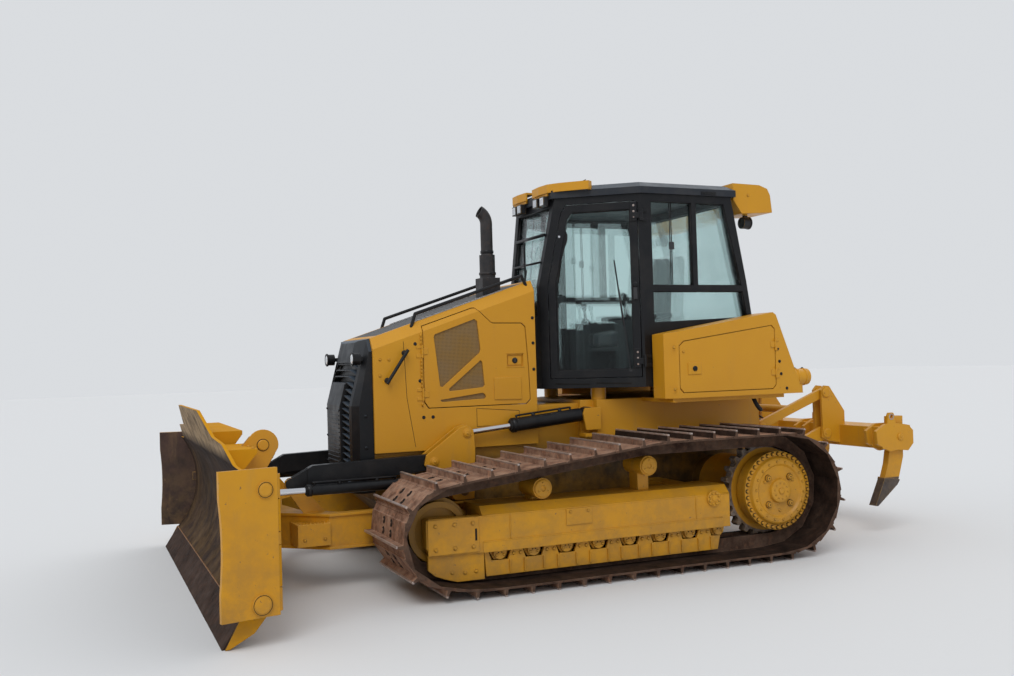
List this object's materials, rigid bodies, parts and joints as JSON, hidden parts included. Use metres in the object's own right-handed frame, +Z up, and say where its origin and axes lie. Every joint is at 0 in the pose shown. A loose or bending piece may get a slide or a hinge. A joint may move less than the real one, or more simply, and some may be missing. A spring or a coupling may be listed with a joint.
{
  "type": "crawler bulldozer",
  "caption": "Crawler dozer with enclosed cab, wide tracks, an angle and tilt blade on a C-frame with hinged side wings, and a parallelogram ripper behind.",
  "frame": {"origin": "on the ground, at the middle of the overall length and width, under the machine", "axes": "+X forward towards the blade, +Y to the machine's left, +Z up"},
  "size_m": [5.8998, 3.955, 2.956],
  "materials": {
    "yellow_paint": "worn gloss",
    "black_paint": "satin",
    "track_steel": "rusted",
    "blade_steel": "worn",
    "machined_steel": "worn",
    "chrome_rod": "polished",
    "window_glass": "clear",
    "grey_plastic": "matt",
    "seat_cloth": "woven"
  },
  "bodies": {
    "chassis": {"main_frame": "yellow_paint", "engine_block": "yellow_paint", "hood": "yellow_paint", "hood_deck": "black_paint", "radiator_guard": "black_paint", "exhaust_stack": "machined_steel", "hand_rails": "black_paint", "cab_shell": "black_paint", "cab_glass": "window_glass", "cab_roof": "black_paint", "roof_pods": "yellow_paint", "seat": "seat_cloth", "console": "grey_plastic", "head_lamps": "black_paint", "fender_left": "yellow_paint", "fender_right": "yellow_paint", "track_frame_left": "yellow_paint", "track_frame_right": "yellow_paint", "rollers_left": "yellow_paint", "rollers_right": "yellow_paint", "idler_left": "yellow_paint", "idler_right": "yellow_paint", "sprocket_left": "yellow_paint", "sprocket_right": "yellow_paint", "track_left": "track_steel", "track_right": "track_steel"},
    "c_frame": {"c_frame": "yellow_paint"},
    "blade_yoke": {"blade_yoke": "yellow_paint"},
    "blade": {"blade": "blade_steel", "cutting_edge": "machined_steel"},
    "tilt_barrel": {"tilt_barrel": "black_paint"},
    "tilt_rod": {"tilt_rod": "chrome_rod"},
    "ripper_arm": {"ripper_arm": "yellow_paint"},
    "ripper_link": {"ripper_link": "yellow_paint"},
    "ripper_beam": {"ripper_beam": "yellow_paint", "ripper_shanks": "yellow_paint"},
    "ripper_barrel": {"ripper_barrel": "black_paint"},
    "ripper_rod": {"ripper_rod": "chrome_rod"},
    "cab_door_left": {"cab_door_left": "black_paint", "cab_door_glass_left": "window_glass"},
    "hood_door_left": {"hood_door_left": "yellow_paint"},
    "fender_door_left": {"fender_door_left": "yellow_paint"},
    "lift_lever_left": {"lift_lever_left": "yellow_paint"},
    "lift_link_left": {"lift_link_left": "black_paint"},
    "lift_barrel_left": {"lift_barrel_left": "black_paint"},
    "lift_rod_left": {"lift_rod_left": "chrome_rod"},
    "wing_left": {"wing_left": "yellow_paint"},
    "angle_barrel_left": {"angle_barrel_left": "black_paint"},
    "angle_rod_left": {"angle_rod_left": "chrome_rod"},
    "cab_door_right": {"cab_door_right": "black_paint", "cab_door_glass_right": "window_glass"},
    "hood_door_right": {"hood_door_right": "yellow_paint"},
    "fender_door_right": {"fender_door_right": "yellow_paint"},
    "lift_lever_right": {"lift_lever_right": "yellow_paint"},
    "lift_link_right": {"lift_link_right": "black_paint"},
    "lift_barrel_right": {"lift_barrel_right": "black_paint"},
    "lift_rod_right": {"lift_rod_right": "chrome_rod"},
    "wing_right": {"wing_right": "yellow_paint"},
    "angle_barrel_right": {"angle_barrel_right": "black_paint"},
    "angle_rod_right": {"angle_rod_right": "chrome_rod"}
  },
  "joints": [
    {"name": "blade_lift", "type": "hinge", "parent": "chassis", "child": "c_frame", "pos_m": [0.55, 0, 0.42], "axis": [0, 1, 0], "range_deg": [-18, 9]},
    {"name": "blade_angle", "type": "hinge", "parent": "c_frame", "child": "blade_yoke", "pos_m": [2.47, 0, 0.42], "axis": [0, 0, 1], "range_deg": [-22, 22]},
    {"name": "blade_tilt", "type": "hinge", "parent": "blade_yoke", "child": "blade", "pos_m": [2.6, 0, 0.42], "axis": [1, 0, 0], "range_deg": [-6, 6]},
    {"name": "lift_lever_turn_left", "type": "hinge", "parent": "chassis", "child": "lift_lever_left", "pos_m": [1, 0.5275, 0.6], "axis": [0, 1, 0], "range_deg": [-29.37, 14.68]},
    {"name": "lift_link_turn_left", "type": "hinge", "parent": "lift_lever_left", "child": "lift_link_left", "pos_m": [1.23, 0.5275, 0.83], "axis": [0, 1, 0], "range_deg": [-2.85, 5.71]},
    {"name": "lift_cylinder_swing_left", "type": "hinge", "parent": "chassis", "child": "lift_barrel_left", "pos_m": [-0.06, 0.5275, 1.12], "axis": [0, 1, 0], "range_deg": [-2.1, 4.2]},
    {"name": "lift_rod_slide_left", "type": "slide", "parent": "lift_barrel_left", "child": "lift_rod_left", "axis": [0.9958, 0, -0.092], "range_m": [-0.2036, 0.1018]},
    {"name": "wing_turn_left", "type": "hinge", "parent": "blade", "child": "wing_left", "pos_m": [2.62, 1.874, 0.6], "axis": [0, 0, 1], "range_deg": [0, 75]},
    {"name": "angle_cylinder_swing_left", "type": "hinge", "parent": "c_frame", "child": "angle_barrel_left", "pos_m": [1.42, 0.645, 0.7], "axis": [0, 1, 0], "range_deg": [-3.51, 3.51]},
    {"name": "angle_rod_slide_left", "type": "slide", "parent": "angle_barrel_left", "child": "angle_rod_left", "axis": [1, 0, 0], "range_m": [-0.24239, 0.24239]},
    {"name": "cab_door_turn_left", "type": "hinge", "parent": "chassis", "child": "cab_door_left", "pos_m": [-0.44371, 0.81709, 2], "axis": [0, 0, 1], "range_deg": [0, 115]},
    {"name": "hood_door_turn_left", "type": "hinge", "parent": "chassis", "child": "hood_door_left", "pos_m": [1.262, 0.4685, 1.5], "axis": [0, 0, 1], "range_deg": [-100, 0]},
    {"name": "fender_door_turn_left", "type": "hinge", "parent": "chassis", "child": "fender_door_left", "pos_m": [-1.497, 1.057, 1.5], "axis": [0, 0, 1], "range_deg": [0, 95]},
    {"name": "lift_lever_turn_right", "type": "hinge", "parent": "chassis", "child": "lift_lever_right", "pos_m": [1, -0.5275, 0.6], "axis": [0, 1, 0], "range_deg": [-29.37, 14.68]},
    {"name": "lift_link_turn_right", "type": "hinge", "parent": "lift_lever_right", "child": "lift_link_right", "pos_m": [1.23, -0.5275, 0.83], "axis": [0, 1, 0], "range_deg": [-2.85, 5.71]},
    {"name": "lift_cylinder_swing_right", "type": "hinge", "parent": "chassis", "child": "lift_barrel_right", "pos_m": [-0.06, -0.5275, 1.12], "axis": [0, 1, 0], "range_deg": [-2.1, 4.2]},
    {"name": "lift_rod_slide_right", "type": "slide", "parent": "lift_barrel_right", "child": "lift_rod_right", "axis": [0.9958, 0, -0.092], "range_m": [-0.2036, 0.1018]},
    {"name": "wing_turn_right", "type": "hinge", "parent": "blade", "child": "wing_right", "pos_m": [2.62, -1.874, 0.6], "axis": [0, 0, 1], "range_deg": [-75, 0]},
    {"name": "angle_cylinder_swing_right", "type": "hinge", "parent": "c_frame", "child": "angle_barrel_right", "pos_m": [1.42, -0.645, 0.7], "axis": [0, 1, 0], "range_deg": [-3.51, 3.51]},
    {"name": "angle_rod_slide_right", "type": "slide", "parent": "angle_barrel_right", "child": "angle_rod_right", "axis": [1, 0, 0], "range_m": [-0.24239, 0.24239]},
    {"name": "cab_door_turn_right", "type": "hinge", "parent": "chassis", "child": "cab_door_right", "pos_m": [-0.44371, -0.81709, 2], "axis": [0, 0, 1], "range_deg": [-115, 0]},
    {"name": "hood_door_turn_right", "type": "hinge", "parent": "chassis", "child": "hood_door_right", "pos_m": [1.262, -0.4685, 1.5], "axis": [0, 0, 1], "range_deg": [0, 100]},
    {"name": "fender_door_turn_right", "type": "hinge", "parent": "chassis", "child": "fender_door_right", "pos_m": [-1.497, -1.057, 1.5], "axis": [0, 0, 1], "range_deg": [-95, 0]},
    {"name": "tilt_cylinder_swing", "type": "hinge", "parent": "blade_yoke", "child": "tilt_barrel", "pos_m": [2.49, -0.03, 0.95], "axis": [1, 0, 0], "range_deg": [-6.16, 6.16]},
    {"name": "tilt_rod_slide", "type": "slide", "parent": "tilt_barrel", "child": "tilt_rod", "axis": [0, 0.9954, 0.0959], "range_m": [-0.05566, 0.05566]},
    {"name": "ripper_lift", "type": "hinge", "parent": "chassis", "child": "ripper_arm", "pos_m": [-1.78, 0, 0.56], "axis": [0, 1, 0], "range_deg": [-38, 12]},
    {"name": "ripper_beam_turn", "type": "hinge", "parent": "ripper_arm", "child": "ripper_beam", "pos_m": [-2.47, 0, 0.83], "axis": [0, 1, 0], "range_deg": [-12.02, 38.08]},
    {"name": "ripper_link_turn", "type": "hinge", "parent": "chassis", "child": "ripper_link", "pos_m": [-1.78, 0, 0.92], "axis": [0, 1, 0], "range_deg": [-38.08, 12.02]},
    {"name": "ripper_cylinder_swing", "type": "hinge", "parent": "chassis", "child": "ripper_barrel", "pos_m": [-1.765, 0, 1.09], "axis": [0, 1, 0], "range_deg": [-21.32, 6.73]},
    {"name": "ripper_rod_slide", "type": "slide", "parent": "ripper_barrel", "child": "ripper_rod", "axis": [-0.8734, 0, -0.487], "range_m": [-0.0865, 0.27393]}
  ],
  "couplings": [
    {"joint": "lift_lever_turn_left", "follows": "blade_lift", "ratio": 1.6283},
    {"joint": "lift_link_turn_left", "follows": "blade_lift", "ratio": -0.3164},
    {"joint": "lift_cylinder_swing_left", "follows": "blade_lift", "ratio": -0.233},
    {"joint": "lift_rod_slide_left", "follows": "blade_lift", "m_per_rad": 0.6468},
    {"joint": "angle_cylinder_swing_left", "follows": "blade_tilt", "ratio": -0.58371},
    {"joint": "angle_rod_slide_left", "follows": "blade_angle", "m_per_rad": -0.63},
    {"joint": "lift_lever_turn_right", "follows": "blade_lift", "ratio": 1.6283},
    {"joint": "lift_link_turn_right", "follows": "blade_lift", "ratio": -0.3164},
    {"joint": "lift_cylinder_swing_right", "follows": "blade_lift", "ratio": -0.233},
    {"joint": "lift_rod_slide_right", "follows": "blade_lift", "m_per_rad": 0.6468},
    {"joint": "angle_cylinder_swing_right", "follows": "blade_tilt", "ratio": 0.58371},
    {"joint": "angle_rod_slide_right", "follows": "blade_angle", "m_per_rad": 0.63},
    {"joint": "tilt_cylinder_swing", "follows": "blade_tilt", "ratio": 1.0252},
    {"joint": "tilt_rod_slide", "follows": "blade_tilt", "m_per_rad": -0.53043},
    {"joint": "ripper_beam_turn", "follows": "ripper_lift", "ratio": -1},
    {"joint": "ripper_link_turn", "follows": "ripper_lift", "ratio": 1},
    {"joint": "ripper_cylinder_swing", "follows": "ripper_lift", "ratio": 0.5598},
    {"joint": "ripper_rod_slide", "follows": "ripper_lift", "m_per_rad": -0.4122}
  ]
}
